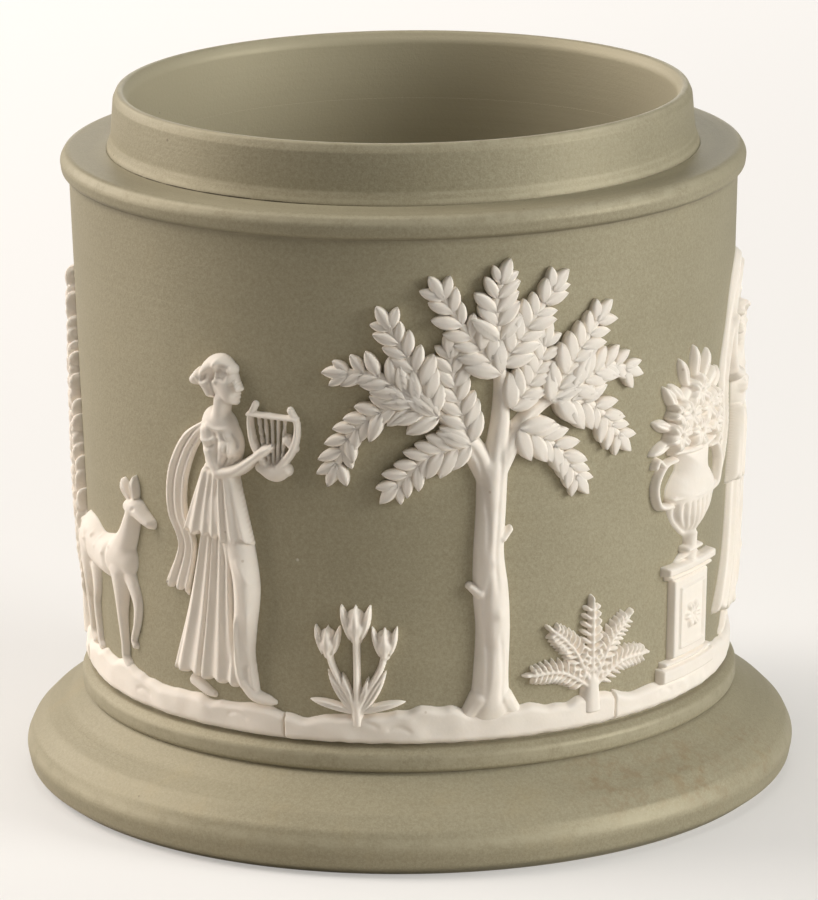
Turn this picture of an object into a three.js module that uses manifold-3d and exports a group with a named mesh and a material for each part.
// A round stoneware cigarette jar without its lid. The jar is three turned pieces of sage green
// stoneware: a thick-walled cup with a rolled rim, a collar that the lid would drop over, and a
// flared foot ring round the cup's base. A frieze of thin white mouldings, pressed one by one
// and stuck on with slip, runs round the wall on a white strip of ground.
// Millimetres, +Z up, origin at the centre of the face the jar stands on, front towards -Y.
import * as THREE from "three";
import { mergeVertices } from "three/addons/utils/BufferGeometryUtils.js";
import Module from "manifold-3d";

const wasm = await Module();
wasm.setup();

// Driving dimensions of the turned pieces
const JAR_HEIGHT = 88;
const BORE_RADIUS = 34.4;
const WALL_TOP_RADIUS = 42;
const WALL_FOOT_RADIUS = 40.1;
const FLOOR_THICKNESS = 6;
const FLOOR_FILLET = 4;
const COLLAR_HEIGHT = 7.3;
const COLLAR_FOOT_WALL = 2.7;
const COLLAR_LIP_WALL = 1.8;
const COLLAR_REBATE_DEPTH = 1.5;
const COLLAR_STEP_HEIGHT = 1;
const COLLAR_STEP_DEPTH = 0.5;
const RIM_ROUND = 1.7;
const RIM_OVERHANG = 1;
const BEAD_HEIGHT = 3;
const BEAD_PROUD = 1.6;
const FOOT_HEIGHT = 11.1;
const FOOT_RADIUS = 49.2;
const FOOT_EDGE_HEIGHT = 3.6;
const STAND_RADIUS = 46.9;
const STAND_WIDTH = 6;
const SPIGOT_RADIUS = 38;
const BASE_RECESS = 2;
const SLIP_GAP = 0.3;

// Driving dimensions of the white frieze
const GROUND_HEIGHT = 3.9;
const GROUND_THICKNESS = 1.1;
const GROUND_EDGE_ROUND = 0.9;
// Waves of the ground's uneven top edge: times round the jar, phase, height
const GROUND_WAVES = [[5, 0.6, 0.45], [11, 1.3, 0.3], [23, 0, 0.25]];
const TREE_RIM_CLEARANCE = 4.5;
const MUSE_HEIGHT = 43;
const DANCER_HEIGHT = 47;
const URN_HEIGHT = 41;
const DOE_HEIGHT = 26;
const CYPRESS_HEIGHT = 47;
const TULIP_HEIGHT = 14;
const FERN_HEIGHT = 12;
const LILY_HEIGHT = 16;

// Fineness of the faceted shapes
const TURNED_STEPS = 60;
const ARC_STEPS = 5;
const STRIP_STEP_DEG = 3;
const SPRIG_SINK = 0.1;
const GROUND_CUT_DEG = 18;

// Levels that follow from the sizes
const SHOULDER_Z = JAR_HEIGHT - COLLAR_HEIGHT;
const RIM_CENTRE_Z = SHOULDER_Z - RIM_ROUND;
const RIM_CENTRE_RADIUS = WALL_TOP_RADIUS + RIM_OVERHANG - RIM_ROUND;
const BEAD_TOP_Z = FOOT_HEIGHT + BEAD_HEIGHT;
const FLOOR_Z = BASE_RECESS + FLOOR_THICKNESS;
const COLLAR_FOOT_RADIUS = BORE_RADIUS + COLLAR_FOOT_WALL;
const WALL_TOP_Z = RIM_CENTRE_Z - Math.sqrt(RIM_ROUND ** 2 - (RIM_ROUND - RIM_OVERHANG) ** 2);
const GROUND_BOTTOM_Z = BEAD_TOP_Z + SLIP_GAP;
const GROUND_TOP_Z = GROUND_BOTTOM_Z + GROUND_HEIGHT;
const TREE_HEIGHT = WALL_TOP_Z - TREE_RIM_CLEARANCE - GROUND_TOP_Z;

const GREEN = new THREE.MeshStandardMaterial({ color: 0x8f8a6c, roughness: 0.75, metalness: 0 });
const WHITE = new THREE.MeshStandardMaterial({ color: 0xe9e1d4, roughness: 0.7, metalness: 0 });

const jar = new THREE.Group();
const radians = THREE.MathUtils.degToRad;

function wallRadiusAt(z) {
  const share = (z - BEAD_TOP_Z) / (WALL_TOP_Z - BEAD_TOP_Z);
  return WALL_FOOT_RADIUS + (WALL_TOP_RADIUS - WALL_FOOT_RADIUS) * share;
}

// Points of an arc in the profile plane, angles in degrees, 0 pointing away from the axis
function arc(radius, z, size, from, to, steps = ARC_STEPS) {
  return Array.from({ length: steps + 1 }, (_, i) => {
    const angle = radians(from + ((to - from) * i) / steps);
    return [radius + size * Math.cos(angle), z + size * Math.sin(angle)];
  });
}

// A turned piece from its profile of [radius, z] points, as a manifold solid
function turned(profile) {
  const points = profile.map(([r, z]) => new THREE.Vector2(r, z));
  return solidFrom(new THREE.LatheGeometry(points, TURNED_STEPS).rotateX(Math.PI / 2));
}

function solidFrom(geometry) {
  const bare = new THREE.BufferGeometry().setAttribute("position", geometry.getAttribute("position"));
  bare.setIndex(geometry.getIndex());
  const merged = mergeVertices(bare, 1e-3);
  const triVerts = new Uint32Array(merged.index.array);
  const mesh = new wasm.Mesh({ numProp: 3, vertProperties: merged.attributes.position.array, triVerts });
  return new wasm.Manifold(mesh);
}

function geometryFrom(solid) {
  const mesh = solid.getMesh();
  return new THREE.BufferGeometry()
    .setAttribute("position", new THREE.BufferAttribute(new Float32Array(mesh.vertProperties), 3))
    .setIndex(new THREE.BufferAttribute(new Uint32Array(mesh.triVerts), 1));
}

function addPiece(name, solid, material) {
  const mesh = new THREE.Mesh(geometryFrom(solid), material);
  mesh.name = name;
  jar.add(mesh);
}

// The cup: floor, wall, bead at the wall's foot and rolled rim, thrown and turned in one piece
function makeCup() {
  const beadCentreZ = FOOT_HEIGHT + BEAD_HEIGHT / 2;
  const bead = arc(0, 0, 1, -90, 90).map(([across, up]) => [
    WALL_FOOT_RADIUS + BEAD_PROUD * across,
    beadCentreZ + (BEAD_HEIGHT / 2) * up,
  ]);
  const rimUnder = -90 + THREE.MathUtils.radToDeg(Math.acos((RIM_CENTRE_Z - WALL_TOP_Z) / RIM_ROUND));
  const rebateRadius = COLLAR_FOOT_RADIUS + SLIP_GAP;
  const rebateZ = SHOULDER_Z - COLLAR_REBATE_DEPTH;
  return turned([
    [0, BASE_RECESS],
    [SPIGOT_RADIUS, BASE_RECESS],
    [SPIGOT_RADIUS, FOOT_HEIGHT],
    ...bead,
    [WALL_TOP_RADIUS, WALL_TOP_Z],
    ...arc(RIM_CENTRE_RADIUS, RIM_CENTRE_Z, RIM_ROUND, rimUnder, 90).slice(1),
    [rebateRadius, SHOULDER_Z],
    [rebateRadius, rebateZ],
    [BORE_RADIUS, rebateZ],
    ...arc(BORE_RADIUS - FLOOR_FILLET, FLOOR_Z + FLOOR_FILLET, FLOOR_FILLET, 0, -90, 4),
    [0, FLOOR_Z],
  ]);
}

// The collar: a slightly tapering ring seated in the shoulder's rebate, with a rounded lip
function makeCollar() {
  const lipRound = COLLAR_LIP_WALL / 2;
  const seatZ = SHOULDER_Z - COLLAR_REBATE_DEPTH + SLIP_GAP;
  return turned([
    [BORE_RADIUS, seatZ],
    [COLLAR_FOOT_RADIUS, seatZ],
    [COLLAR_FOOT_RADIUS, SHOULDER_Z + COLLAR_STEP_HEIGHT],
    [COLLAR_FOOT_RADIUS - COLLAR_STEP_DEPTH, SHOULDER_Z + COLLAR_STEP_HEIGHT * 1.6],
    ...arc(BORE_RADIUS + lipRound, JAR_HEIGHT - lipRound, lipRound, 0, 180, 6),
    [BORE_RADIUS, seatZ],
  ]);
}

// The foot: a flared ring round the cup's base, with a flat ring underneath to stand on
function makeFoot() {
  const inside = SPIGOT_RADIUS + SLIP_GAP;
  const top = FOOT_HEIGHT - SLIP_GAP;
  const neck = WALL_FOOT_RADIUS + BEAD_PROUD;
  const flare = FOOT_RADIUS - neck;
  const drop = top - FOOT_EDGE_HEIGHT;
  const under = FOOT_RADIUS - STAND_RADIUS;
  return turned([
    [inside, BASE_RECESS],
    [STAND_RADIUS - STAND_WIDTH, 0],
    [STAND_RADIUS, 0],
    [FOOT_RADIUS - under * 0.75, FOOT_EDGE_HEIGHT * 0.12],
    [FOOT_RADIUS - under * 0.18, FOOT_EDGE_HEIGHT * 0.47],
    [FOOT_RADIUS, FOOT_EDGE_HEIGHT],
    [neck + flare * 0.9, FOOT_EDGE_HEIGHT + drop * 0.25],
    [neck + flare * 0.71, FOOT_EDGE_HEIGHT + drop * 0.47],
    [neck + flare * 0.45, FOOT_EDGE_HEIGHT + drop * 0.68],
    [neck + flare * 0.18, FOOT_EDGE_HEIGHT + drop * 0.85],
    [neck, top],
    [inside, top],
    [inside, BASE_RECESS],
  ]);
}

// The uneven top edge of the white ground, as a height at each angle round the jar
function groundTopAt(angle) {
  const rises = GROUND_WAVES.map(([times, phase, height]) => height * Math.sin(times * angle + phase));
  return GROUND_TOP_Z + rises.reduce((sum, rise) => sum + rise);
}

// A stretch of ground between two angles. Grown, it is the shape that the sprigs are cut off with.
function groundStretch(from, to, clearance = 0, thickness = GROUND_THICKNESS) {
  const steps = Math.ceil((to - from) / STRIP_STEP_DEG);
  const bottom = GROUND_BOTTOM_Z - clearance * 3;
  const sections = [];
  for (let i = 0; i <= steps; i++) {
    const angle = radians(from + ((to - from) * i) / steps);
    const top = groundTopAt(angle) + clearance;
    const face = (z) => wallRadiusAt(z) + (clearance ? 0 : SLIP_GAP);
    sections.push(
      [
        [face(bottom), bottom],
        [face(bottom) + thickness, bottom + 0.25],
        [face(top) + thickness, top - GROUND_EDGE_ROUND],
        [face(top) + thickness * 0.6, top],
        [face(top), top],
      ].map(([r, z]) => [r * Math.sin(angle), -r * Math.cos(angle), z]),
    );
  }
  return skinned(sections);
}

// A closed solid through like sections of points, each section going round the same way
function skinned(sections, flip = false) {
  const count = sections[0].length;
  const index = [];
  const face = (a, b, c) => index.push(...(flip ? [a, c, b] : [a, b, c]));
  for (let s = 0; s + 1 < sections.length; s++)
    for (let i = 0; i < count; i++) {
      const a = s * count + i;
      const b = s * count + ((i + 1) % count);
      face(a, a + count, b);
      face(b, a + count, b + count);
    }
  const last = (sections.length - 1) * count;
  for (let i = 1; i + 1 < count; i++) {
    face(0, i, i + 1);
    face(last, last + i + 1, last + i);
  }
  const geometry = new THREE.BufferGeometry();
  geometry.setAttribute("position", new THREE.Float32BufferAttribute(sections.flat(2), 3));
  geometry.setIndex(index);
  return solidFrom(geometry);
}

// One modelled stroke of a sprig, from points of [across, up, half width, height off the wall].
// A ridged one has two sloping sides, any other a flattened top. A fifth value sweeps the sides
// of that section forward along the stroke, which makes a pair of pointed leaves.
function strokeSolid(points, place, ridged) {
  const sections = points.map(([x, y, half, height, sweep = 0], i) => {
    const [ax, ay] = points[Math.max(0, i - 1)];
    const [bx, by] = points[Math.min(points.length - 1, i + 1)];
    const length = Math.hypot(bx - ax, by - ay);
    const [alongX, alongY] = [(bx - ax) / length, (by - ay) / length];
    const outline = ridged
      ? [[-1, -SPRIG_SINK], [0, height], [1, -SPRIG_SINK]]
      : [[-1, -SPRIG_SINK], [-0.65, height], [0.65, height], [1, -SPRIG_SINK]];
    return outline.map(([share, out]) => {
      const forward = sweep * Math.abs(share);
      return place(
        x + alongY * half * share + alongX * forward,
        y - alongX * half * share + alongY * forward,
        out,
      );
    });
  });
  return skinned(sections, !place.mirrored);
}

function topOf({ strokes, stems = [], leaves = [] }) {
  const ends = [...strokes, ...stems].flat().map(([, y]) => y);
  const tips = leaves.map(([, y, direction, length]) => y + length * Math.sin(radians(direction)));
  return Math.max(...ends, ...tips);
}

// The way a sprig's flat drawing is laid on the wall, standing on the ground at an angle. The
// whole drawing is scaled from the height it is drawn at to the height the sprig has.
function placeAt(degrees, scale, mirrored) {
  const middle = radians(degrees);
  const wrapRadius = (WALL_TOP_RADIUS + WALL_FOOT_RADIUS) / 2;
  const place = (x, y, out) => {
    const angle = middle + ((mirrored ? -x : x) * scale) / wrapRadius;
    const z = GROUND_TOP_Z + y * scale;
    const r = wallRadiusAt(z) + out * scale;
    return [r * Math.sin(angle), -r * Math.cos(angle), z];
  };
  place.mirrored = mirrored;
  return place;
}

// The wall and the rim's underside with their slip gap, which every sprig is cut back to
function makeMandrel() {
  const low = BEAD_TOP_Z - 5;
  const under = WALL_TOP_Z - SLIP_GAP;
  const beyond = WALL_TOP_RADIUS + 10;
  return turned([
    [0, low],
    [wallRadiusAt(low) + SLIP_GAP, low],
    [wallRadiusAt(under) + SLIP_GAP, under],
    [beyond, under],
    [beyond, SHOULDER_Z],
    [0, SHOULDER_Z],
  ]);
}

const mandrel = makeMandrel();

// A pointed leaf with a ridge along it. Its drawing is [x, y, direction, length, width, height],
// from the leaf's base point, with the direction in degrees from straight right.
function leafSolid([x, y, direction, length, width, height], place) {
  const along = [Math.cos(radians(direction)), Math.sin(radians(direction))];
  const at = (share, aside, out) =>
    place(
      x + along[0] * length * share - along[1] * width * aside,
      y + along[1] * length * share + along[0] * width * aside,
      out,
    );
  const corners = [
    at(-0.2, 0, -SPRIG_SINK),
    at(0.4, -0.5, -SPRIG_SINK),
    at(1, 0, -SPRIG_SINK),
    at(0.4, 0.5, -SPRIG_SINK),
    at(0.05, 0, height),
    at(0.8, 0, height * 0.75),
  ];
  const faces = [[0, 3, 2], [0, 2, 1], [0, 1, 4], [1, 5, 4], [1, 2, 5], [2, 3, 5], [3, 4, 5], [3, 0, 4]];
  const outward = faces.map(([a, b, c]) => (place.mirrored ? [a, c, b] : [a, b, c]));
  const geometry = new THREE.BufferGeometry();
  geometry.setAttribute("position", new THREE.Float32BufferAttribute(corners.flat(), 3));
  geometry.setIndex(outward.flat());
  return solidFrom(geometry);
}

// A sprig: its strokes and leaves joined into one moulding, fitted to the wall and the ground
function addSprig(name, drawing, degrees, height, mirrored = false) {
  const place = placeAt(degrees, height / topOf(drawing), mirrored);
  const pieces = [
    ...drawing.strokes.map((points) => strokeSolid(points, place, false)),
    ...(drawing.stems || []).map((points) => strokeSolid(points, place, true)),
    ...(drawing.leaves || []).map((drawn) => leafSolid(drawn, place)),
  ];
  const joined = pieces.reduce((whole, piece) => whole.add(piece));
  const ground = groundStretch(degrees - GROUND_CUT_DEG, degrees + GROUND_CUT_DEG, SLIP_GAP, 6);
  addPiece(name, joined.subtract(mandrel).subtract(ground), WHITE);
}

// A leafy spray along a smooth path, as one ridged stroke with pairs of leaves that point forward
function spray(path, { spacing, reach, sweep, height }) {
  const curve = new THREE.CatmullRomCurve3(path.map(([x, y]) => new THREE.Vector3(x, y, 0)));
  const pairs = Math.max(2, Math.round(curve.getLength() / spacing));
  const points = [];
  const station = (step, half, out, forward) => {
    const { x, y } = curve.getPointAt(Math.min(1, step / (pairs + 1)));
    points.push([x, y, half, out, forward]);
  };
  for (let i = 0; i < pairs; i++) {
    const size = 1 - (0.35 * i) / pairs;
    station(i, 0.6 * size, height * 0.75, 0);
    station(i + 0.4, reach * size, height, sweep * size);
  }
  station(pairs, 0.4, height * 0.75, 0);
  station(pairs + 0.5, reach * 0.33, height * 0.9, 0);
  station(pairs + 1, 0.15, height * 0.6, 0);
  return points;
}

// A broad round-headed tree: bare trunk, three limbs and thirteen leafy sprays
function drawTree() {
  const wood = [
    [[0.2, -2, 3.2, 2.1], [-0.1, 1.5, 2.5, 2.1], [0.3, 10, 2.1, 2], [-0.1, 19, 1.9, 2], [0.3, 29, 1.9, 1.9]],
    [[0.3, 27.5, 1.7, 1.9], [-3, 33.5, 1.3, 1.6], [-8.5, 38, 0.8, 1.3]],
    [[0.4, 28.5, 1.6, 1.9], [1.3, 37, 1.2, 1.6], [0.8, 46, 0.7, 1.3]],
    [[0.5, 29.5, 1.4, 1.9], [4.6, 35.5, 1.1, 1.5], [10, 38.5, 0.7, 1.3]],
  ];
  const sprays = [
    [[-6, 36.3], [-11, 37.3], [-15.5, 34.5], [-17.5, 30.5]],
    [[-8.5, 38], [-12.5, 41], [-16, 41.3]],
    [[-6.5, 36.6], [-8.8, 42], [-11.3, 46.5]],
    [[0.9, 41], [-2.8, 46], [-5.3, 50.5]],
    [[0.8, 45], [0.5, 49], [1.4, 52.4]],
    [[1.1, 42], [4.4, 46.6], [7.2, 50.3]],
    [[6.8, 37], [10, 42], [13, 45.6]],
    [[9.5, 38.3], [14, 40.2], [17.3, 39.4]],
    [[7.6, 37.4], [12.6, 35.6], [16.4, 31.6]],
    [[-2.5, 32.7], [-7, 31.5], [-10.6, 28]],
    [[3, 34.2], [7.4, 31.6], [10.4, 27.6]],
    [[-2.5, 33], [-4, 38.5], [-4.6, 43]],
    [[2.2, 36.6], [5, 40.4], [6.2, 43.6]],
  ];
  const sizes = { spacing: 3.4, reach: 3, sweep: 1.9, height: 1.7 };
  return { strokes: wood, stems: sprays.map((path) => spray(path, sizes)) };
}

// The folds of a long skirt, spread between its two edges from the waist down to the hem
function skirtFolds(left, right, count) {
  return Array.from({ length: count }, (_, i) => {
    const share = (i + 0.5) / count;
    return left.map(([lx, ly], row) => {
      const [rx, ry] = right[row];
      const half = ((rx - lx) / count) * 0.68;
      return [lx + (rx - lx) * share, ly + (ry - ly) * share, half, row ? 1.7 : 1.9];
    });
  });
}

// A draped girl in profile who plays a small lyre, her scarf blown out behind her
function drawMuse() {
  const strokes = [
    [[0.4, 42, 1.6, 1.6], [1.1, 39.6, 2, 1.8], [1.4, 37.1, 1.3, 1.6]],
    [[0.9, 37.8, 1.2, 1.6], [0.2, 34.2, 1.5, 1.5]],
    [[0.4, 40.6, 0.9, 1.7], [-1.6, 40.1, 1.1, 1.7], [-3.6, 39.4, 0.6, 1.4]],
    [[0, 34.9, 2.1, 1.5], [0.3, 32, 3, 2], [0.1, 29.2, 2.3, 1.9], [-0.4, 24, 3.2, 2]],
    [[0.1, 28.8, 2.2, 2], [0, 25.5, 3.2, 2.1], [-0.4, 20.5, 4.7, 2.1]],
    [[0.9, 25, 2.2, 1.9], [3, 14.6, 1.8, 2.1], [2.5, 4, 1.5, 1.4]],
    [[2.5, 3, 1.1, 1.4], [3.8, 1.2, 0.9, 1.2], [6.3, 0.6, 0.4, 0.9]],
    [[-5.2, 2.2, 0.9, 1], [-3.4, 0.7, 0.7, 0.9], [-2.2, 0.4, 0.4, 0.8]],
    [[-1, 34, 1.3, 2.1], [-0.5, 31, 1.2, 2.3], [0.7, 28.7, 1, 2.4], [3, 29.5, 0.8, 2.3],
      [6.8, 32.4, 0.5, 1.8]],
    [[5, 37.4, 0.4, 1], [4.3, 35.6, 0.4, 1.1], [4.7, 32.6, 0.5, 1.2], [7.2, 29.2, 1.1, 1.3],
      [9.7, 32.6, 0.5, 1.2], [10.2, 35.4, 0.4, 1.1], [9.4, 37.2, 0.4, 1]],
    [[4.2, 36.2, 0.4, 1.2], [10.2, 36, 0.4, 1.2]],
  ];
  const skirtLeft = [[-1.7, 27], [-3.3, 20], [-5.4, 11.5], [-8.4, 2.6]];
  const skirtRight = [[2, 27], [2.6, 20], [3.2, 11.5], [4.4, 1.6]];
  const scarf = [
    [-1.6, 34.3, 0.9, 1.1], [-4.6, 31.4, 1.1, 1.2], [-6.9, 27, 1.6, 1.2], [-7, 22.5, 1.6, 1.2],
    [-5.6, 18.5, 1.4, 1.2], [-7.5, 12.8, 1.9, 1],
  ];
  return { strokes, stems: [...skirtFolds(skirtLeft, skirtRight, 6), scarf] };
}

// A girl dancing with a veil held up in an arch over her head
function drawDancer() {
  const strokes = [
    [[0.2, 42, 1.6, 1.6], [-0.4, 39.5, 2, 1.8], [-0.8, 37, 1.3, 1.6]],
    [[-0.2, 37.6, 1.2, 1.6], [0, 34.2, 1.6, 1.5]],
    [[0, 40.4, 0.9, 1.6], [1.9, 40, 1.1, 1.6], [3.8, 39.4, 0.6, 1.4]],
    [[0, 34.9, 2.2, 1.5], [0.1, 32, 3.1, 2], [0, 29.2, 2.3, 1.9], [-0.2, 24, 3.3, 2]],
    [[0.1, 28.8, 2.2, 2], [-0.1, 25.5, 3.4, 2.1], [-0.6, 20.4, 5.3, 2.1]],
    [[1, 25.5, 2.2, 1.9], [3, 14, 1.9, 2.2], [2.1, 4, 1.5, 1.4]],
    [[2, 3.6, 0.9, 1.3], [3.4, 1.3, 0.8, 1.1], [5.3, 0.7, 0.5, 0.9]],
    [[-4.4, 6, 0.8, 1], [-5.6, 2, 0.7, 0.9], [-7.4, 0.7, 0.4, 0.8]],
    [[2.2, 33.5, 1.3, 1.8], [6.6, 36, 0.9, 1.6], [7.3, 38.6, 0.8, 1.5], [6.7, 42.4, 0.7, 1.5]],
    [[-2.2, 33.5, 1.3, 1.8], [-7, 35.2, 0.9, 1.6], [-7.9, 37.8, 0.8, 1.5], [-7.2, 42, 0.7, 1.5]],
  ];
  const skirtLeft = [[-1.9, 27], [-4, 20], [-6.6, 11.5], [-11.2, 4.6]];
  const skirtRight = [[2.2, 27], [3.3, 20], [3.6, 11.5], [5.2, 2]];
  const veil = [
    [-10.6, 22.5, 0.6, 1], [-9.3, 28.5, 1.2, 1.1], [-10.2, 35, 1.4, 1.2], [-7.6, 41.4, 1.2, 1.2],
    [-4.6, 45.6, 1.5, 1.2], [0, 47.4, 1.7, 1.2], [4.6, 45.8, 1.5, 1.2], [7.2, 41.6, 1.2, 1.2],
    [10, 35.2, 1.4, 1.2], [8.9, 28.5, 1.2, 1.1], [10.6, 23, 0.6, 1],
  ];
  return { strokes, stems: [...skirtFolds(skirtLeft, skirtRight, 6), veil] };
}

// A two-handled urn full of flowers on a square pedestal
function drawUrn() {
  const handle = (side) => [
    [side * 4, 22.2, 0.5, 1.4], [side * 7.3, 22.8, 0.5, 1.4], [side * 8.1, 25.6, 0.5, 1.4],
    [side * 6.6, 28, 0.5, 1.4], [side * 3, 28.5, 0.5, 1.4],
  ];
  const bloom = ([x, y, r]) => [
    [x - r, y, r * 0.45, 1.4], [x - r * 0.5, y, r * 0.95, 1.9],
    [x + r * 0.5, y, r * 0.95, 1.9], [x + r, y, r * 0.45, 1.4],
  ];
  const blooms = [
    [-4.3, 31.2, 2], [4.4, 31.2, 2], [0.1, 31, 2.3], [-2.2, 33.7, 2.1], [2.4, 33.8, 2.1], [0.1, 36.4, 1.9],
  ];
  const strokes = [
    [[0, -1.6, 6.6, 1.6], [0, 0.9, 6.6, 1.6], [0, 1.3, 5.8, 1.4], [0, 2, 4.3, 1.3], [0, 12.2, 4.3, 1.3],
      [0, 13, 6, 1.7], [0, 14.4, 6, 1.7]],
    [[0, 14.2, 2.9, 1.6], [0, 15.2, 2.7, 1.5], [0, 16, 1.3, 1.3], [0, 17.4, 1.3, 1.3], [0, 20, 4.3, 2],
      [0, 22.5, 5.5, 2.3], [0, 24.6, 5.6, 2.3], [0, 27, 3.8, 1.9], [0, 28.4, 3.8, 1.9], [0, 29.9, 5.2, 2]],
    handle(-1),
    handle(1),
    ...blooms.map(bloom),
  ];
  const leaves = [
    [-5, 31, 196, 4.3], [5, 31, -16, 4.3], [-4.9, 32.4, 158, 4], [4.9, 32.4, 22, 4],
    [-3.6, 34.6, 130, 4.6], [3.8, 34.6, 50, 4.6], [-1.5, 37, 112, 4.4], [1.7, 37, 66, 4.4],
    [0.1, 37.6, 90, 4.8],
  ].map(([x, y, direction, length]) => [x, y, direction, length, 1.9, 1.4]);
  return { strokes, leaves };
}

// A young doe standing with her head up and one foreleg lifted
function drawDoe() {
  const strokes = [
    [[-9.9, 15.6, 1.6, 1.2], [-7.6, 15.4, 3.1, 1.8], [-4.5, 15.2, 3.4, 2], [-0.5, 14.6, 3, 1.9],
      [3.5, 14.9, 3.3, 2], [6.4, 15.8, 2.8, 1.7], [8.6, 16.6, 1.2, 1.2]],
    [[5.4, 16.2, 2.8, 1.8], [7.6, 19, 1.9, 1.8], [9, 21.6, 1.5, 1.7], [9.5, 23.4, 1.2, 1.6]],
    [[8.4, 23.4, 0.9, 1.4], [10.2, 23.4, 1.3, 1.7], [12, 22.5, 1, 1.4], [14, 21.4, 0.5, 1.1]],
    [[5.4, 14, 1.9, 1.9], [5.1, 7.2, 0.8, 1.3], [5.2, 1.6, 0.7, 1.1], [6.3, 0.5, 0.7, 1]],
    [[6.8, 14, 1.6, 1.3], [8.9, 10.2, 1, 1.1], [8.7, 7.2, 0.6, 1], [7.7, 3.6, 0.5, 0.9]],
    [[-7, 14.6, 2.8, 2], [-7.4, 11, 1.9, 1.7], [-8.8, 6.4, 0.8, 1.3], [-8.2, 1.6, 0.7, 1.1],
      [-7.1, 0.5, 0.7, 1]],
    [[-5, 13, 2.2, 1.4], [-4.6, 9, 1.1, 1.2], [-5.3, 6.2, 0.7, 1], [-4.5, 1.4, 0.6, 0.9],
      [-3.8, 0.6, 0.6, 0.9]],
    [[-9.9, 16.6, 0.8, 1.3], [-11.2, 15, 0.8, 1.2], [-11.3, 13.4, 0.3, 1]],
  ];
  const leaves = [[9.1, 23.9, 128, 3.8, 1.6, 1.5], [9.9, 24.2, 92, 3.6, 1.5, 1.5]];
  return { strokes, leaves };
}

// A slender cypress: a short trunk under a flame-shaped crown of upright leaf tips
function drawCypress() {
  const crown = [[4, 2.0], [8, 3.6], [15, 4.5], [24, 4.1], [33, 3.0], [41, 1.6], [46.4, 0.4]];
  const strokes = [
    [[0, -2, 1.9, 1.6], [0, 5, 1.3, 1.5]],
    crown.map(([y, half]) => [0, y, half, 1.2 + half * 0.16]),
  ];
  const leaves = crown.slice(0, -1).flatMap(([y, half]) => [
    [-half * 0.85, y, 112, 5.6, 2.4, 1.3],
    [0, y + 1, 90, 6.4, 2.6, 2.2],
    [half * 0.85, y, 68, 5.6, 2.4, 1.3],
  ]);
  return { strokes, leaves };
}

// Three tulips over a tuft of long leaves
function drawTulip() {
  const strokes = [
    [[0, -1.6, 0.9, 1.2], [0, 4, 0.5, 1.1], [0, 9.4, 0.5, 1.1]],
    [[0, 0.6, 0.6, 1.1], [-2.6, 5, 0.45, 1], [-3.4, 7.4, 0.45, 1]],
    [[0, 0.6, 0.6, 1.1], [2.6, 5, 0.45, 1], [3.4, 7.4, 0.45, 1]],
    ...[[0, 9.2, 1], [-3.4, 7.2, 0.85], [3.4, 7.2, 0.85]].map(([x, y, size]) => [
      [x, y, 0.9 * size, 1.2], [x, y + 1.8 * size, 1.9 * size, 1.7], [x, y + 4.4 * size, 1.3 * size, 1.1],
    ]),
  ];
  const leaves = [
    [-0.3, 0, 128, 6.2], [0.3, 0, 52, 6.2], [-0.4, 0, 158, 5.6], [0.4, 0, 22, 5.6],
  ].map(([x, y, direction, length]) => [x, y, direction, length, 1.9, 1.3]);
  return { strokes, leaves };
}

// A fern: a root with five arching fronds
function drawFern() {
  const fronds = [
    [[0, 0.8], [0, 5], [0, 10.4]],
    [[0, 0.8], [-2.2, 5.4], [-4.8, 8]],
    [[0, 0.8], [2.2, 5.4], [4.8, 8]],
    [[0, 0.8], [-3.6, 3.2], [-7.2, 3.4]],
    [[0, 0.8], [3.6, 3.2], [7.2, 3.4]],
  ];
  const sizes = { spacing: 3, reach: 1.6, sweep: 1, height: 1.3 };
  const root = [[0, -1.6, 1.5, 1.3], [0, 1.6, 1.1, 1.2]];
  return { strokes: [root], stems: fronds.map((path) => spray(path, sizes)) };
}

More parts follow.
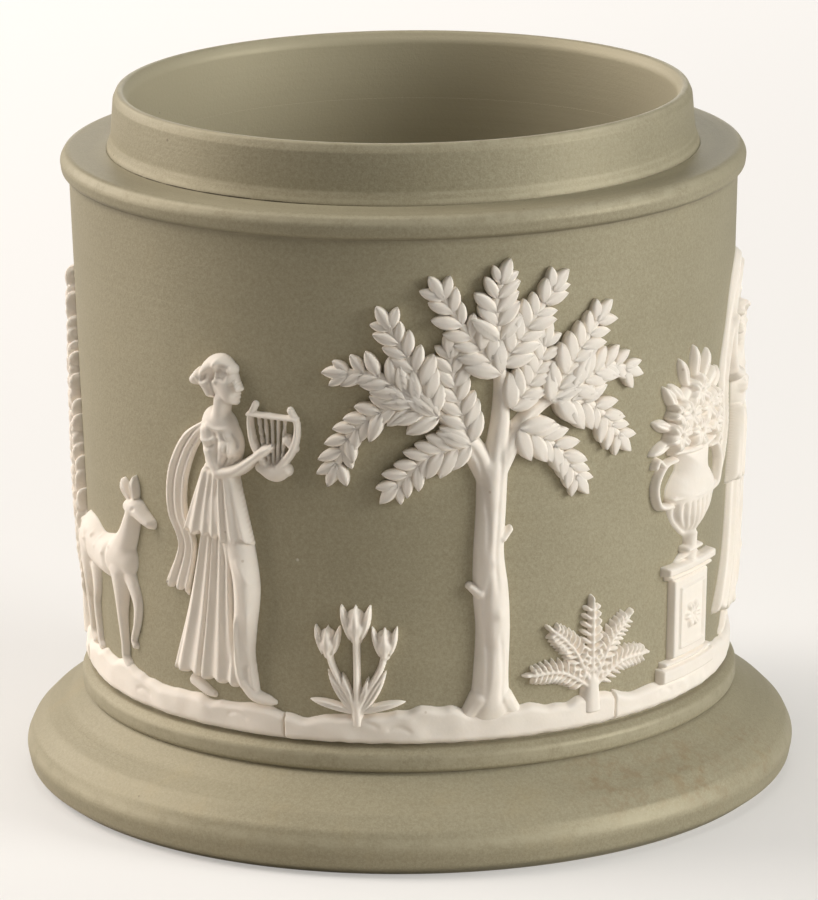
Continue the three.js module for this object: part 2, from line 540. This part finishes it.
// A lily: one tall stalk of bell flowers over broad leaves
function drawLily() {
  const strokes = [
    [[0, -1.6, 0.9, 1.2], [0.2, 6, 0.55, 1.1], [-0.2, 13.6, 0.4, 1]],
    ...[[-0.3, 8.6, -2.6, 7.4], [0.3, 10.6, 2.7, 9.6], [-0.2, 12.6, -2.0, 12.4], [-0.1, 13.4, 1.2, 14.2]].map(
      ([x0, y0, x1, y1]) => [[x0, y0, 0.4, 1], [x1, y1, 1.15, 1.5], [x1 * 1.18, y1 - 1.9, 1.45, 1.2]],
    ),
  ];
  const leaves = [
    [-0.3, 0, 112, 7.6], [0.3, 0, 66, 7.6], [-0.4, 0, 150, 5.8], [0.4, 0, 30, 5.8],
  ].map(([x, y, direction, length]) => [x, y, direction, length, 2.3, 1.3]);
  return { strokes, leaves };
}

addPiece("jar_cup", makeCup(), GREEN);
addPiece("lid_collar", makeCollar(), GREEN);
addPiece("foot_ring", makeFoot(), GREEN);

// Six lengths of ground, butted together round the jar
const GROUND_LENGTHS = 6;
const FIRST_BUTT_DEG = 38;
const lengthDeg = 360 / GROUND_LENGTHS;
const buttGapDeg = THREE.MathUtils.radToDeg(SLIP_GAP / WALL_FOOT_RADIUS);
for (let i = 0; i < GROUND_LENGTHS; i++) {
  const from = FIRST_BUTT_DEG + i * lengthDeg;
  addPiece(`ground_strip_${i + 1}`, groundStretch(from, from + lengthDeg - buttGapDeg), WHITE);
}

// The frieze, at its angles round the jar: 0 is the front, and angles grow to the right
const tree = drawTree();
const muse = drawMuse();
const dancer = drawDancer();
const urn = drawUrn();
const tulip = drawTulip();
const fern = drawFern();
const lily = drawLily();
addSprig("tree_front", tree, 14, TREE_HEIGHT);
addSprig("muse_front", muse, -33, MUSE_HEIGHT);
addSprig("tulip_front", tulip, -9, TULIP_HEIGHT);
addSprig("fern_front", fern, 33, FERN_HEIGHT);
addSprig("urn_right", urn, 58, URN_HEIGHT);
addSprig("dancer_right", dancer, 86, DANCER_HEIGHT);
addSprig("lily_rear", lily, 109, LILY_HEIGHT);
addSprig("tree_rear", tree, 128, TREE_HEIGHT, true);
addSprig("fern_rear", fern, 147, FERN_HEIGHT);
addSprig("muse_rear", muse, 171, MUSE_HEIGHT, true);
addSprig("tulip_rear", tulip, -167.5, TULIP_HEIGHT);
addSprig("urn_rear", urn, -148, URN_HEIGHT);
addSprig("dancer_rear", dancer, -118, DANCER_HEIGHT, true);
addSprig("cypress_left", drawCypress(), -92, CYPRESS_HEIGHT);
addSprig("doe_left", drawDoe(), -67, DOE_HEIGHT);

export default jar;
